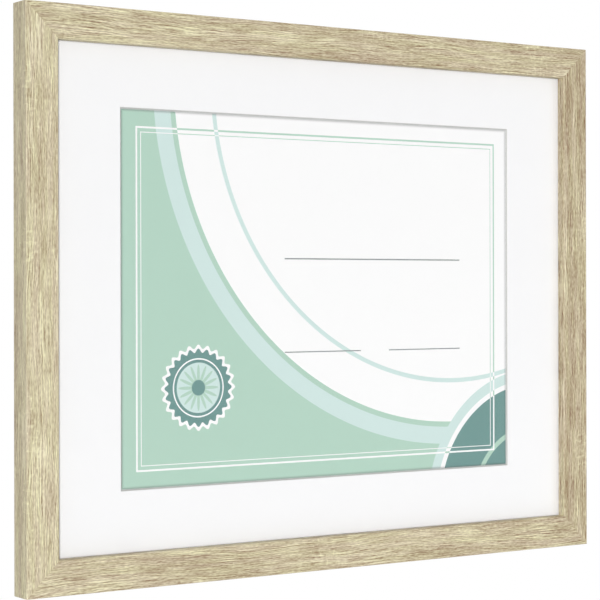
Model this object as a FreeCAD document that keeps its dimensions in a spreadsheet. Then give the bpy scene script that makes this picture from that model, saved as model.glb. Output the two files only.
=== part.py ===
"""Certificate frame: a mitred moulding that holds glazing, a window mat, an insert, a filler and a backing.

Lengths are in millimetres and angles in degrees. The frame is drawn about the middle of its front face, with
X to the viewer's right, Y from the front to the rear and Z up. Every sub-part is then moved by one offset, so
that the finished frame has its origin in the notch where the wall nail sits, on the plane of the wall.
Left and right are the viewer's, from the front.
"""
import FreeCAD, Part
import math
import os

import Sketcher
from FreeCAD import Placement, Rotation, Vector

# Driving dimensions: name, value and what it measures
SIZES = [
    ("sheet_width", 355.6, "glazing, mat, filler and backing across, 14 in"),
    ("sheet_height", 279.4, "glazing, mat, filler and backing upright, 11 in"),
    ("sheet_play", 0.6, "gap between the sheets and each wall of the rebate"),
    ("lip_overlap", 6.35, "what the front lip covers of the sheets, a quarter inch"),
    ("face_width", 18.5, "front face of the moulding, outer edge to sight edge"),
    ("lip_depth", 5.2, "front lip, front to back"),
    ("front_outer_radius", 1.0, "outer front arris of the moulding"),
    ("front_inner_radius", 0.8, "sight edge arris of the moulding"),
    ("rear_outer_radius", 1.2, "outer rear arris of the moulding"),
    ("glazing_thickness", 2.0, "clear sheet"),
    ("mat_thickness", 1.0, "window mat, a thin board with a grey core"),
    ("window_width", 262.6, "window of the mat across, at its narrow edge"),
    ("window_height", 200.3, "window of the mat upright, at its narrow edge"),
    ("mat_bevel_angle", 45.0, "slope of the window's cut edge"),
    ("insert_thickness", 0.25, "printed card behind the window"),
    ("filler_thickness", 3.7, "corrugated card"),
    ("backing_thickness", 3.0, "hardboard panel"),
    ("backing_recess", 0.2, "backing below the rear face of the moulding"),
    ("v_nail_leg", 5.0, "corner nail, from its apex to the end of a leg"),
    ("v_nail_thickness", 0.6, "steel of the corner nail"),
    ("v_nail_depth", 7.0, "corner nail, front to back"),
    ("v_nail_sink", 0.3, "corner nail below the rear face of the moulding"),
    ("v_nail_inset", 3.6, "first corner nail from both outer edges"),
    ("v_nail_pitch", 4.2, "second corner nail from the first, along both edges"),
    ("v_nail_clearance", 0.03, "wood round a corner nail"),
    ("button_corner_inset", 78.0, "button pivot from the nearest corner, along its rail"),
    ("button_edge_inset", 6.0, "button pivot from the outer edge of its rail"),
    ("button_arm", 17.0, "button, from its pivot to its tip"),
    ("button_pivot_radius", 4.6, "round end of the button about its pivot"),
    ("button_tip_radius", 3.5, "round tip of the button"),
    ("button_thickness", 1.0, "steel of the button"),
    ("button_gap", 0.1, "play under the button and under the screw head"),
    ("finger_lift_length", 4.5, "bent end of the button, along its slope"),
    ("finger_lift_angle", 22.0, "slope of the bent end"),
    ("button_bend_radius", 1.0, "inner radius of the bend"),
    ("screw_shank_radius", 1.45, "shank of the 2.9 mm screw"),
    ("screw_length", 9.5, "screw under its head"),
    ("screw_tip_length", 2.4, "point of the screw"),
    ("screw_head_radius", 2.8, "pan head"),
    ("screw_head_height", 1.6, "pan head"),
    ("screw_head_edge_radius", 1.0, "rounded edge of the pan head"),
    ("recess_span", 3.0, "cross recess, end to end"),
    ("recess_width", 0.65, "one bar of the cross recess"),
    ("recess_depth", 0.9, "cross recess"),
    ("pivot_clearance", 0.06, "hole of the button round the shank"),
    ("pilot_clearance", 0.02, "hole in the wood round a shank"),
    ("hanger_length", 44.0, "toothed hanger, end to end"),
    ("hanger_height", 9.0, "toothed hanger, edge to edge"),
    ("hanger_thickness", 0.8, "steel of the hanger"),
    ("hanger_rise", 2.2, "room behind the raised strip for the wall nail"),
    ("hanger_tab_length", 7.5, "flat end of the hanger, from its end to the bend"),
    ("hanger_ramp_angle", 50.0, "slope between the flat end and the raised strip"),
    ("hanger_bend_radius", 0.5, "inner radius of the hanger's bends"),
    ("hanger_corner_radius", 2.0, "rounded corners of the flat ends"),
    ("hanger_edge_inset", 1.3, "hanger from the outer edge of its rail"),
    ("tooth_pitch", 2.4, "from notch to notch"),
    ("tooth_depth", 1.5, "notch, from the toothed edge to its root"),
    ("tooth_flat", 0.4, "blunt end of a tooth"),
    ("tooth_notch_count", 9, "an odd count, so that one notch is in the middle"),
    ("nail_shank_radius", 0.8, "hanger nail"),
    ("nail_length", 9.0, "hanger nail under its head"),
    ("nail_tip_length", 1.6, "point of the hanger nail"),
    ("nail_head_radius", 1.9, "hanger nail"),
    ("nail_head_height", 0.7, "hanger nail"),
    ("nail_head_edge_radius", 0.35, "rounded edge of the nail head"),
    ("nail_clearance", 0.05, "hole of the hanger round its nail"),
    ("overrun", 2.0, "what a cutting shape reaches past the piece"),
]

# Dimensions that follow from the ones above
WORKED_OUT = [
    ("outer_width", "sheet_width - 2 * lip_overlap + 2 * face_width"),
    ("outer_height", "sheet_height - 2 * lip_overlap + 2 * face_width"),
    ("rebate_inset", "face_width - lip_overlap - sheet_play"),
    ("mat_front", "lip_depth + glazing_thickness"),
    ("insert_front", "mat_front + mat_thickness"),
    ("filler_front", "insert_front + insert_thickness"),
    ("backing_front", "filler_front + filler_thickness"),
    ("rail_depth", "backing_front + backing_thickness + backing_recess"),
    ("hanger_stand", "hanger_rise + hanger_thickness"),
    ("notch_drop", "hanger_edge_inset + hanger_height - tooth_depth"),
    ("nail_spacing", "hanger_length - hanger_tab_length"),
    ("nail_drop", "hanger_edge_inset + hanger_height / 2"),
    ("screw_seat", "button_gap + button_thickness + button_gap"),
    ("front_offset", "0 - rail_depth - hanger_stand"),
    ("centre_offset", "notch_drop - outer_height / 2"),
]

# The four rails in clockwise order from the front: name, turn about Y, length and half the frame across it
RAILS = [
    ("top", 0, "sizes.outer_width", "sizes.outer_height / 2"),
    ("right", 90, "sizes.outer_height", "sizes.outer_width / 2"),
    ("bottom", 180, "sizes.outer_width", "sizes.outer_height / 2"),
    ("left", 270, "sizes.outer_height", "sizes.outer_width / 2"),
]

# Cosine and sine of each turn
QUARTER_TURNS = {0: (1, 0), 90: (0, 1), 180: (-1, 0), 270: (0, -1)}

# The two buttons of each rail, in clockwise order from the front
BUTTON_PLACES = {
    "top": ("top_left", "top_right"),
    "right": ("right_upper", "right_lower"),
    "bottom": ("bottom_right", "bottom_left"),
    "left": ("left_lower", "left_upper"),
}

# Which rail carries the hanger for each way of hanging the frame
HANGERS = {"top": "landscape", "right": "portrait"}

# The corner that each pair of corner nails joins: turn about Y and the signs of its X and Z
CORNERS = [(0, -1, 1), (90, 1, 1), (180, 1, -1), (270, -1, -1)]

doc = FreeCAD.newDocument("certificate_frame")
sheet = doc.addObject("Spreadsheet::Sheet", "sizes")


def fill_sheet():
    """Write the driving dimensions as numbers and the others as formulas."""
    rows = [(name, str(number), note) for name, number, note in SIZES]
    rows += [(name, "=" + formula, "follows from the others") for name, formula in WORKED_OUT]
    for row, (name, content, note) in enumerate(rows, start=1):
        sheet.set(f"A{row}", name)
        sheet.set(f"B{row}", content)
        sheet.setAlias(f"B{row}", name)
        sheet.set(f"C{row}", note)
    doc.recompute()


def size(name):
    """One dimension as a number, to find an edge by its place."""
    return float(sheet.get(name))


def new_body(name):
    """An empty body whose label is the sub-part's name."""
    body = doc.addObject("PartDesign::Body", name)
    body.Label = name
    return body


def new_sketch(body, role, name, offset=None):
    """A sketch on one of the body's own planes, moved along its normal where an offset is given."""
    planes = [feature for feature in body.Origin.OriginFeatures if feature.Role == role]
    sketch = body.newObject("Sketcher::SketchObject", name)
    sketch.AttachmentSupport = (planes[0], "")
    sketch.MapMode = "FlatFace"
    if offset:
        sketch.setExpression("AttachmentOffset.Base.z", offset)
    return sketch


def bind(sketch, kind, places, expression, start):
    """Add one dimension to a sketch and tie it to an expression."""
    index = sketch.addConstraint(Sketcher.Constraint(kind, *places, start))
    sketch.setExpression(f"Constraints[{index}]", expression)


def draw_polygon(sketch, corners):
    """A closed outline whose corners are pairs of expressions."""
    first = sketch.GeometryCount
    count = len(corners)
    ring = [Rotation(Vector(0, 0, 1), 360 * step / count).multVec(Vector(1, 0, 0)) for step in range(count)]
    for step in range(count):
        sketch.addGeometry(Part.LineSegment(ring[step], ring[(step + 1) % count]), False)
    for step in range(count):
        joined = first + (step + 1) % count
        sketch.addConstraint(Sketcher.Constraint("Coincident", first + step, 2, joined, 1))
    for step, (across, along) in enumerate(corners):
        bind(sketch, "DistanceX", (-1, 1, first + step, 1), across, ring[step].x)
        bind(sketch, "DistanceY", (-1, 1, first + step, 1), along, ring[step].y)


def draw_circle(sketch, across, along, radius):
    """A circle whose centre and radius are expressions."""
    index = sketch.addGeometry(Part.Circle(Vector(1, 1, 0), Vector(0, 0, 1), 1), False)
    bind(sketch, "DistanceX", (-1, 1, index, 3), across, 1)
    bind(sketch, "DistanceY", (-1, 1, index, 3), along, 1)
    bind(sketch, "Radius", (index,), radius, 1)


def add_pad(body, sketch, length, name, reversed_side=False, both_sides=False):
    """Solid from a sketch, to one side or equally to both."""
    pad = body.newObject("PartDesign::Pad", name)
    pad.Profile = sketch
    pad.Reversed = reversed_side
    pad.SideType = "Symmetric" if both_sides else "One side"
    pad.setExpression("Length", length)
    doc.recompute()
    return pad


def add_pocket(body, sketch, name, depth=None, reversed_side=False, taper=None):
    """Cut a sketch out of the body: to a depth, or right through to both sides where none is given."""
    before = body.Shape.Volume
    pocket = body.newObject("PartDesign::Pocket", name)
    pocket.Profile = sketch
    pocket.Reversed = reversed_side
    if depth:
        pocket.Type = "Length"
        pocket.setExpression("Length", depth)
    else:
        pocket.Type = "ThroughAll"
        pocket.SideType = "Symmetric"
    if taper:
        pocket.setExpression("TaperAngle", taper)
    doc.recompute()
    if body.Shape.Volume >= before:
        raise RuntimeError(f"{body.Label}: {name} cuts nothing")
    return pocket


def add_fillet(body, base, edges, radius, name):
    """Round the edges of a feature that are given by their numbers."""
    if not edges:
        raise RuntimeError(f"{body.Label}: {name} finds no edge")
    fillet = body.newObject("PartDesign::Fillet", name)
    fillet.Base = (base, [f"Edge{number}" for number in edges])
    fillet.setExpression("Radius", radius)
    doc.recompute()
    return fillet


def edges_at(shape, places):
    """Numbers of the straight edges of which every point lies at one of the places.

    A place gives the coordinates that the edge keeps, such as {"y": 0.0, "z": 9.0}.
    """
    found = []
    for number, edge in enumerate(shape.Edges, start=1):
        ends = [vertex.Point for vertex in edge.Vertexes]
        for place in places:
            gaps = [abs(getattr(end, axis) - at) for end in ends for axis, at in place.items()]
            if len(ends) > 1 and max(gaps) < Part.Precision.confusion() * 100:
                found.append(number)
    return found


def put(part, turn, along, depth, reach):
    """Place a part that is drawn for the top rail on the rail that a turn gives.

    along is the place along the rail, depth the one from the front face to the rear, and reach the one from
    the middle of the frame towards the rail.
    """
    cosine, sine = QUARTER_TURNS[turn]
    part.Placement = Placement(Vector(), Rotation(Vector(0, 1, 0), turn))
    part.setExpression(".Placement.Base.x", f"{cosine} * ({along}) + {sine} * ({reach})")
    part.setExpression(".Placement.Base.y", f"{depth} + sizes.front_offset")
    part.setExpression(".Placement.Base.z", f"{cosine} * ({reach}) - {sine} * ({along}) + sizes.centre_offset")


def add_group(name, members):
    """One sub-part of several like solids."""
    group = doc.addObject("Part::Compound", name)
    group.Label = name
    group.Links = members
    return group


def make_rail(side, turn, length, reach):
    """One length of moulding: an L-section run, chopped at 45 degrees, slotted and drilled from the rear."""
    body = new_body(f"rail_{side}")
    sight = f"{reach} - sizes.face_width"
    rebate = f"{reach} - sizes.rebate_inset"
    section = new_sketch(body, "YZ_Plane", f"{side}_section")
    draw_polygon(section, [
        ("0", reach),
        ("sizes.rail_depth", reach),
        ("sizes.rail_depth", rebate),
        ("sizes.lip_depth", rebate),
        ("sizes.lip_depth", sight),
        ("0", sight),
    ])
    feature = add_pad(body, section, length, f"{side}_run", both_sides=True)

    half_across = size("outer_height" if side in ("top", "bottom") else "outer_width") / 2
    arrises = [
        ("front_outer", 0.0, half_across),
        ("front_inner", 0.0, half_across - size("face_width")),
        ("rear_outer", size("rail_depth"), half_across),
    ]
    for arris, depth_at, height_at in arrises:
        edges = edges_at(feature.Shape, [{"y": depth_at, "z": height_at}])
        feature = add_fillet(body, feature, edges, f"sizes.{arris}_radius", f"{side}_{arris}_arris")

    mitres = new_sketch(body, "XZ_Plane", f"{side}_mitre_lines")
    for sign in (-1, 1):
        end = f"{sign} * ({length} / 2 + sizes.overrun)"
        inner_end = f"{sign} * ({length} / 2 - sizes.face_width - sizes.overrun)"
        draw_polygon(mitres, [
            (end, f"{reach} + sizes.overrun"),
            (inner_end, f"{sight} - sizes.overrun"),
            (end, f"{sight} - sizes.overrun"),
        ])
    add_pocket(body, mitres, f"{side}_mitres")

    rear = "0 - sizes.rail_depth"
    slots = new_sketch(body, "XZ_Plane", f"{side}_nail_slot_lines", rear)
    wall = "(sizes.v_nail_thickness / 2 + sizes.v_nail_clearance)"
    for sign in (-1, 1):
        for place in nail_insets():
            start = f"{sign} * ({length} / 2 - {place} + {wall})"
            stop = f"{sign} * ({length} / 2 - {place} - sizes.v_nail_leg - sizes.v_nail_clearance)"
            draw_polygon(slots, [
                (start, f"{reach} - {place} + {wall}"),
                (stop, f"{reach} - {place} + {wall}"),
                (stop, f"{reach} - {place} - {wall}"),
                (start, f"{reach} - {place} - {wall}"),
            ])
    slot_depth = "sizes.v_nail_sink + sizes.v_nail_depth"
    add_pocket(body, slots, f"{side}_nail_slots", slot_depth, reversed_side=True)

    pilots = new_sketch(body, "XZ_Plane", f"{side}_pilot_lines", rear)
    for sign in (-1, 1):
        draw_circle(
            pilots,
            f"{sign} * ({length} / 2 - sizes.button_corner_inset)",
            f"{reach} - sizes.button_edge_inset",
            "sizes.screw_shank_radius + sizes.pilot_clearance",
        )
    pilot_depth = "sizes.screw_length - sizes.screw_seat + sizes.pilot_clearance"
    add_pocket(body, pilots, f"{side}_pilots", pilot_depth, reversed_side=True)

    if side in HANGERS:
        nail_holes = new_sketch(body, "XZ_Plane", f"{side}_nail_hole_lines", rear)
        for sign in (-1, 1):
            draw_circle(
                nail_holes,
                f"{sign} * sizes.nail_spacing / 2",
                f"{reach} - sizes.nail_drop",
                "sizes.nail_shank_radius + sizes.pilot_clearance",
            )
        nail_depth = "sizes.nail_length - sizes.hanger_thickness + sizes.pilot_clearance"
        add_pocket(body, nail_holes, f"{side}_nail_holes", nail_depth, reversed_side=True)

    put(body, turn, "0", "0", "0")
    return body


def nail_insets():
    """Distance of each corner nail's apex from both outer edges."""
    return ["sizes.v_nail_inset", "(sizes.v_nail_inset + sizes.v_nail_pitch)"]


def make_corner_nail(name, turn, sign_x, sign_z, place):
    """A V-shaped nail across one mitre: a leg in each rail, drawn for the top left corner."""
    body = new_body(name)
    outline = new_sketch(body, "XZ_Plane", f"{name}_outline")
    half = "sizes.v_nail_thickness / 2"
    draw_polygon(outline, [
        (f"0 - {half}", half),
        ("sizes.v_nail_leg", half),
        ("sizes.v_nail_leg", f"0 - {half}"),
        (half, f"0 - {half}"),
        (half, "0 - sizes.v_nail_leg"),
        (f"0 - {half}", "0 - sizes.v_nail_leg"),
    ])
    add_pad(body, outline, "sizes.v_nail_depth", f"{name}_strip")
    body.Placement = Placement(Vector(), Rotation(Vector(0, 1, 0), turn))
    body.setExpression(".Placement.Base.x", f"{sign_x} * (sizes.outer_width / 2 - {place})")
    body.setExpression(".Placement.Base.y", "sizes.rail_depth - sizes.v_nail_sink + sizes.front_offset")
    body.setExpression(
        ".Placement.Base.z", f"{sign_z} * (sizes.outer_height / 2 - {place}) + sizes.centre_offset"
    )
    return body


def make_sheet(name, front, thickness):
    """A flat sheet or board that fills the rebate."""
    board = doc.addObject("Part::Box", name)
    board.Label = name
    board.setExpression("Length", "sizes.sheet_width")
    board.setExpression("Width", thickness)
    board.setExpression("Height", "sizes.sheet_height")
    board.setExpression(".Placement.Base.x", "0 - sizes.sheet_width / 2")
    board.setExpression(".Placement.Base.y", f"{front} + sizes.front_offset")
    board.setExpression(".Placement.Base.z", "sizes.centre_offset - sizes.sheet_height / 2")
    return board


def rectangle(half_width, half_height):
    """Corners of a rectangle about the middle."""
    return [
        (f"0 - {half_width}", f"0 - {half_height}"),
        (half_width, f"0 - {half_height}"),
        (half_width, half_height),
        (f"0 - {half_width}", half_height),
    ]


def make_mat():
    """The window mat: a board with an opening whose cut edge slopes towards the viewer."""
    body = new_body("mat_board")
    edge = new_sketch(body, "XZ_Plane", "mat_edge")
    draw_polygon(edge, rectangle("sizes.sheet_width / 2", "sizes.sheet_height / 2"))
    add_pad(body, edge, "sizes.mat_thickness", "mat_ply", reversed_side=True)
    window = new_sketch(body, "XZ_Plane", "mat_window")
    bevel = "sizes.mat_thickness * tan(sizes.mat_bevel_angle)"
    draw_polygon(window, rectangle(
        f"(sizes.window_width / 2 + {bevel})",
        f"(sizes.window_height / 2 + {bevel})",
    ))
    add_pocket(body, window, "mat_opening", "sizes.mat_thickness", taper="0 - sizes.mat_bevel_angle")
    put(body, 0, "0", "sizes.mat_front", "0")
    return body


def draw_blade(sketch):
    """Outline of a turn button: a round end about the pivot and a smaller round tip, joined by tangents."""
    wide = size("button_pivot_radius")
    narrow = size("button_tip_radius")
    span = size("button_arm") - narrow
    lean = math.degrees(math.asin((wide - narrow) / span))
    across = Vector(1, 0, 0)
    upright = Vector(0, 0, 1)
    right = Rotation(upright, -lean).multVec(across)
    left = Rotation(upright, 180 + lean).multVec(across)
    tip = Vector(0, -span, 0)
    pivot_end = Part.Arc(right * wide, Vector(0, wide, 0), left * wide)
    tip_end = Part.Arc(tip + left * narrow, tip - Vector(0, narrow, 0), tip + right * narrow)
    sketch.addGeometry(pivot_end, False)
    sketch.addGeometry(Part.LineSegment(left * wide, tip + left * narrow), False)
    sketch.addGeometry(tip_end, False)
    sketch.addGeometry(Part.LineSegment(tip + right * narrow, right * wide), False)
    pivot_arc, left_side, tip_arc, right_side = range(4)
    sketch.addConstraint(Sketcher.Constraint("Tangent", pivot_arc, 2, left_side, 1))
    sketch.addConstraint(Sketcher.Constraint("Tangent", left_side, 2, tip_arc, 1))
    sketch.addConstraint(Sketcher.Constraint("Tangent", tip_arc, 2, right_side, 1))
    sketch.addConstraint(Sketcher.Constraint("Tangent", right_side, 2, pivot_arc, 1))
    sketch.addConstraint(Sketcher.Constraint("Coincident", pivot_arc, 3, -1, 1))
    sketch.addConstraint(Sketcher.Constraint("PointOnObject", tip_arc, 3, -2))
    bind(sketch, "DistanceY", (tip_arc, 3, -1, 1), "sizes.button_arm - sizes.button_tip_radius", span)
    bind(sketch, "Radius", (pivot_arc,), "sizes.button_pivot_radius", wide)
    bind(sketch, "Radius", (tip_arc,), "sizes.button_tip_radius", narrow)


def make_button(name, turn, along, reach):
    """A steel turn button: a blade with a hole at its pivot and a tip bent up for a finger nail."""
    body = new_body(name)
    slope = "(sizes.finger_lift_angle)"
    bend = f"(sizes.button_arm - sizes.finger_lift_length * cos{slope})"
    run = "(sizes.finger_lift_length + sizes.overrun)"
    end_depth = f"{run} * sin{slope}"
    end_along = f"0 - {bend} - {run} * cos{slope}"
    pivot_end = "sizes.button_pivot_radius + sizes.overrun"
    profile = new_sketch(body, "YZ_Plane", f"{name}_side")
    draw_polygon(profile, [
        ("0", pivot_end),
        ("0", f"0 - {bend}"),
        (end_depth, end_along),
        (f"{end_depth} + sizes.button_thickness * cos{slope}", f"{end_along} + sizes.button_thickness * sin{slope}"),
        ("sizes.button_thickness", f"sizes.button_thickness * tan({slope} / 2) - {bend}"),
        ("sizes.button_thickness", pivot_end),
    ])
    width = "2 * (sizes.button_pivot_radius + sizes.overrun)"
    feature = add_pad(body, profile, width, f"{name}_strip", both_sides=True)

    angle = math.radians(size("finger_lift_angle"))
    bend_at = size("button_arm") - size("finger_lift_length") * math.cos(angle)
    inner_at = size("button_thickness") * math.tan(angle / 2) - bend_at
    bends = [
        ("inner", size("button_thickness"), inner_at, "sizes.button_bend_radius"),
        ("outer", 0.0, -bend_at, "sizes.button_bend_radius + sizes.button_thickness"),
    ]
    for which, depth_at, height_at, radius in bends:
        edges = edges_at(feature.Shape, [{"y": depth_at, "z": height_at}])
        feature = add_fillet(body, feature, edges, radius, f"{name}_{which}_bend")

    blank = new_sketch(body, "XZ_Plane", f"{name}_blank")
    draw_blade(blank)
    far = "(sizes.button_arm + sizes.button_pivot_radius + 2 * sizes.overrun)"
    draw_polygon(blank, rectangle(far, far))
    add_pocket(body, blank, f"{name}_trim")

    hole = new_sketch(body, "XZ_Plane", f"{name}_hole_line")
    draw_circle(hole, "0", "0", "sizes.screw_shank_radius + sizes.pivot_clearance")
    add_pocket(body, hole, f"{name}_hole")
    put(body, turn, along, "sizes.rail_depth + sizes.button_gap", f"{reach} - sizes.button_edge_inset")
    return body


def make_pin(name, shank, length, point, head, head_height, head_edge):
    """A nail or screw blank: a round shank with a point, under a head with a rounded edge."""
    body = new_body(name)
    profile = new_sketch(body, "XY_Plane", f"{name}_half")
    draw_polygon(profile, [
        ("0", f"0 - sizes.{length}"),
        (f"sizes.{shank}", f"sizes.{point} - sizes.{length}"),
        (f"sizes.{shank}", "0"),
        (f"sizes.{head}", "0"),
        (f"sizes.{head}", f"sizes.{head_height}"),
        ("0", f"sizes.{head_height}"),
    ])
    turned = body.newObject("PartDesign::Revolution", f"{name}_turned")
    turned.Profile = profile
    turned.ReferenceAxis = (profile, ["V_Axis"])
    turned.Angle = 360
    doc.recompute()
    rim = [
        number
        for number, edge in enumerate(turned.Shape.Edges, start=1)
        if min(vertex.Y for vertex in edge.Vertexes) > size(head_height) / 2 and edge.Length > size(head)
    ]
    add_fillet(body, turned, rim, f"sizes.{head_edge}", f"{name}_rim")
    return body


def make_screw(name, turn, along, reach):
    """The pan head screw that a turn button swivels on."""
    body = make_pin(
        name, "screw_shank_radius", "screw_length", "screw_tip_length",
        "screw_head_radius", "screw_head_height", "screw_head_edge_radius",
    )
    cross = new_sketch(body, "XZ_Plane", f"{name}_cross", "0 - sizes.screw_head_height")
    far = "sizes.recess_span / 2"
    near = "sizes.recess_width / 2"
    draw_polygon(cross, [
        (far, near), (near, near), (near, far), (f"0 - {near}", far),
        (f"0 - {near}", near), (f"0 - {far}", near), (f"0 - {far}", f"0 - {near}"), (f"0 - {near}", f"0 - {near}"),
        (f"0 - {near}", f"0 - {far}"), (near, f"0 - {far}"), (near, f"0 - {near}"), (far, f"0 - {near}"),
    ])
    add_pocket(body, cross, f"{name}_recess", "sizes.recess_depth", reversed_side=True)
    put(body, turn, along, "sizes.rail_depth + sizes.screw_seat", f"{reach} - sizes.button_edge_inset")
    return body


def make_hanger(way, turn, reach):
    """A toothed hanger: a strip with flat ends on the rail and a raised middle with notches in its lower edge.

    It is drawn with the wall at depth zero and the root of its notches at height zero.
    """
    name = f"sawtooth_hanger_{way}"
    body = new_body(name)
    slope = "(sizes.hanger_ramp_angle)"
    lean = f"(sizes.hanger_thickness * tan({slope} / 2))"
    end = "sizes.hanger_length / 2"
    foot = "(sizes.hanger_length / 2 - sizes.hanger_tab_length)"
    shoulder = f"({foot} - sizes.hanger_rise / tan{slope})"
    seat = "0 - sizes.hanger_stand"
    top_of_tab = "0 - sizes.hanger_rise"
    under_strip = "0 - sizes.hanger_thickness"
    profile = new_sketch(body, "XY_Plane", f"{name}_profile", "0 - sizes.tooth_depth")
    draw_polygon(profile, [
        (end, seat),
        (foot, seat),
        (shoulder, under_strip),
        (f"0 - {shoulder}", under_strip),
        (f"0 - {foot}", seat),
        (f"0 - {end}", seat),
        (f"0 - {end}", top_of_tab),
        (f"0 - {foot} - {lean}", top_of_tab),
        (f"0 - {shoulder} - {lean}", "0"),
        (f"{shoulder} + {lean}", "0"),
        (f"{foot} + {lean}", top_of_tab),
        (end, top_of_tab),
    ])
    feature = add_pad(body, profile, "sizes.hanger_height", f"{name}_strip")

    angle = math.radians(size("hanger_ramp_angle"))
    lean_at = size("hanger_thickness") * math.tan(angle / 2)
    foot_at = size("hanger_length") / 2 - size("hanger_tab_length")
    shoulder_at = foot_at - size("hanger_rise") / math.tan(angle)
    tight_bends = [(foot_at + lean_at, -size("hanger_rise")), (shoulder_at, -size("hanger_thickness"))]
    wide_bends = [(foot_at, -size("hanger_stand")), (shoulder_at + lean_at, 0.0)]
    bends = [
        ("tight", tight_bends, "sizes.hanger_bend_radius"),
        ("wide", wide_bends, "sizes.hanger_bend_radius + sizes.hanger_thickness"),
    ]
    for which, places, radius in bends:
        both_ends = [{"x": sign * across, "y": depth} for across, depth in places for sign in (-1, 1)]
        edges = edges_at(feature.Shape, both_ends)
        feature = add_fillet(body, feature, edges, radius, f"{name}_{which}_bends")

    top_at = size("hanger_height") - size("tooth_depth")
    corners = [
        {"x": sign * size("hanger_length") / 2, "z": height}
        for sign in (-1, 1)
        for height in (-size("tooth_depth"), top_at)
    ]
    edges = edges_at(feature.Shape, corners)
    add_fillet(body, feature, edges, "sizes.hanger_corner_radius", f"{name}_corners")

    holes = new_sketch(body, "XZ_Plane", f"{name}_hole_lines")
    for sign in (-1, 1):
        draw_circle(
            holes,
            f"{sign} * sizes.nail_spacing / 2",
            "sizes.hanger_height / 2 - sizes.tooth_depth",
            "sizes.nail_shank_radius + sizes.nail_clearance",
        )
    add_pocket(body, holes, f"{name}_holes")

    notch = new_sketch(body, "XZ_Plane", f"{name}_notch_line")
    first = "(0 - sizes.tooth_pitch * (sizes.tooth_notch_count - 1) / 2)"
    half_notch = "(sizes.tooth_pitch - sizes.tooth_flat) / 2"
    below = "0 - sizes.tooth_depth - sizes.overrun"
    draw_polygon(notch, [
        (first, "0"),
        (f"{first} - {half_notch}", "0 - sizes.tooth_depth"),
        (f"{first} - {half_notch}", below),
        (f"{first} + {half_notch}", below),
        (f"{first} + {half_notch}", "0 - sizes.tooth_depth"),
    ])
    first_notch = add_pocket(body, notch, f"{name}_notch")
    before = body.Shape.Volume
    notches = body.newObject("PartDesign::LinearPattern", f"{name}_notches")
    notches.Originals = [first_notch]
    notches.Direction = (notch, ["H_Axis"])
    notches.setExpression("Length", "sizes.tooth_pitch * (sizes.tooth_notch_count - 1)")
    notches.setExpression("Occurrences", "sizes.tooth_notch_count")
    body.Tip = notches
    doc.recompute()
    if body.Shape.Volume >= before:
        raise RuntimeError(f"{name}: the pattern of notches cuts nothing")
    put(body, turn, "0", "sizes.rail_depth + sizes.hanger_stand", f"{reach} - sizes.notch_drop")
    return body


def make_hanger_nail(name, turn, along, reach):
    """A nail through the flat end of a hanger."""
    body = make_pin(
        name, "nail_shank_radius", "nail_length", "nail_tip_length",
        "nail_head_radius", "nail_head_height", "nail_head_edge_radius",
    )
    put(body, turn, along, "sizes.rail_depth + sizes.hanger_thickness", f"{reach} - sizes.nail_drop")
    return body


def make_parts():
    """Every sub-part of the frame, front to rear."""
    parts = [make_rail(*rail) for rail in RAILS]
    parts.append(make_sheet("glazing_sheet", "sizes.lip_depth", "sizes.glazing_thickness"))
    parts.append(make_mat())
    parts.append(make_sheet("insert_sheet", "sizes.insert_front", "sizes.insert_thickness"))
    parts.append(make_sheet("filler_board", "sizes.filler_front", "sizes.filler_thickness"))
    parts.append(make_sheet("backing_board", "sizes.backing_front", "sizes.backing_thickness"))

    corner_nails = [
        make_corner_nail(f"v_nail_{turn}_{order}", turn, sign_x, sign_z, place)
        for turn, sign_x, sign_z in CORNERS
        for order, place in enumerate(nail_insets())
    ]
    parts.append(add_group("corner_v_nails", corner_nails))

    screws = []
    hanger_nails = []
    for side, turn, length, reach in RAILS:
        for sign, place in zip((-1, 1), BUTTON_PLACES[side]):
            along = f"{sign} * ({length} / 2 - sizes.button_corner_inset)"
            parts.append(make_button(f"turn_button_{place}", turn, along, reach))
            screws.append(make_screw(f"screw_{place}", turn, along, reach))
        if side in HANGERS:
            parts.append(make_hanger(HANGERS[side], turn, reach))
            for sign in (-1, 1):
                along = f"{sign} * sizes.nail_spacing / 2"
                name = f"hanger_nail_{side}_{sign + 1}"
                hanger_nails.append(make_hanger_nail(name, turn, along, reach))
    parts.append(add_group("turn_button_screws", screws))
    parts.append(add_group("hanger_nails", hanger_nails))
    doc.recompute()
    return parts


def check_objects(parts):
    """Stop where an object has failed, or a sub-part is not a set of sound solids."""
    for item in doc.Objects:
        if "Invalid" in item.State or "Error" in item.State:
            raise RuntimeError(f"{item.Label} has failed: {item.State}")
    for part in parts:
        shape = part.Shape
        if shape.isNull() or not shape.isValid() or not shape.Solids:
            raise RuntimeError(f"{part.Label} is not a sound solid")


def write_parts(parts):
    """Write each sub-part to its own file and print its volume and its box."""
    os.makedirs("parts", exist_ok=True)
    for part in parts:
        part.Shape.exportStep(f"parts/{part.Label}.step")
        box = part.Shape.BoundBox
        low = f"{box.XMin:.2f} {box.YMin:.2f} {box.ZMin:.2f}"
        high = f"{box.XMax:.2f} {box.YMax:.2f} {box.ZMax:.2f}"
        count = len(part.Shape.Solids)
        print(f"{part.Label}: {count} solid(s), {part.Shape.Volume:.1f} mm3, {low} to {high}")


fill_sheet()
frame_parts = make_parts()
check_objects(frame_parts)
write_parts(frame_parts)
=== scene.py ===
"""Certificate frame: the finish of every piece, in the order in which the frame is put together.

X runs to the right of a viewer in front of the frame, Y from the viewer to the wall, and Z up. Blender's unit
is the metre, so sizes are written in millimetres times MM.
"""
import math

import bmesh
import bpy
from mathutils import Matrix, Vector


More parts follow.
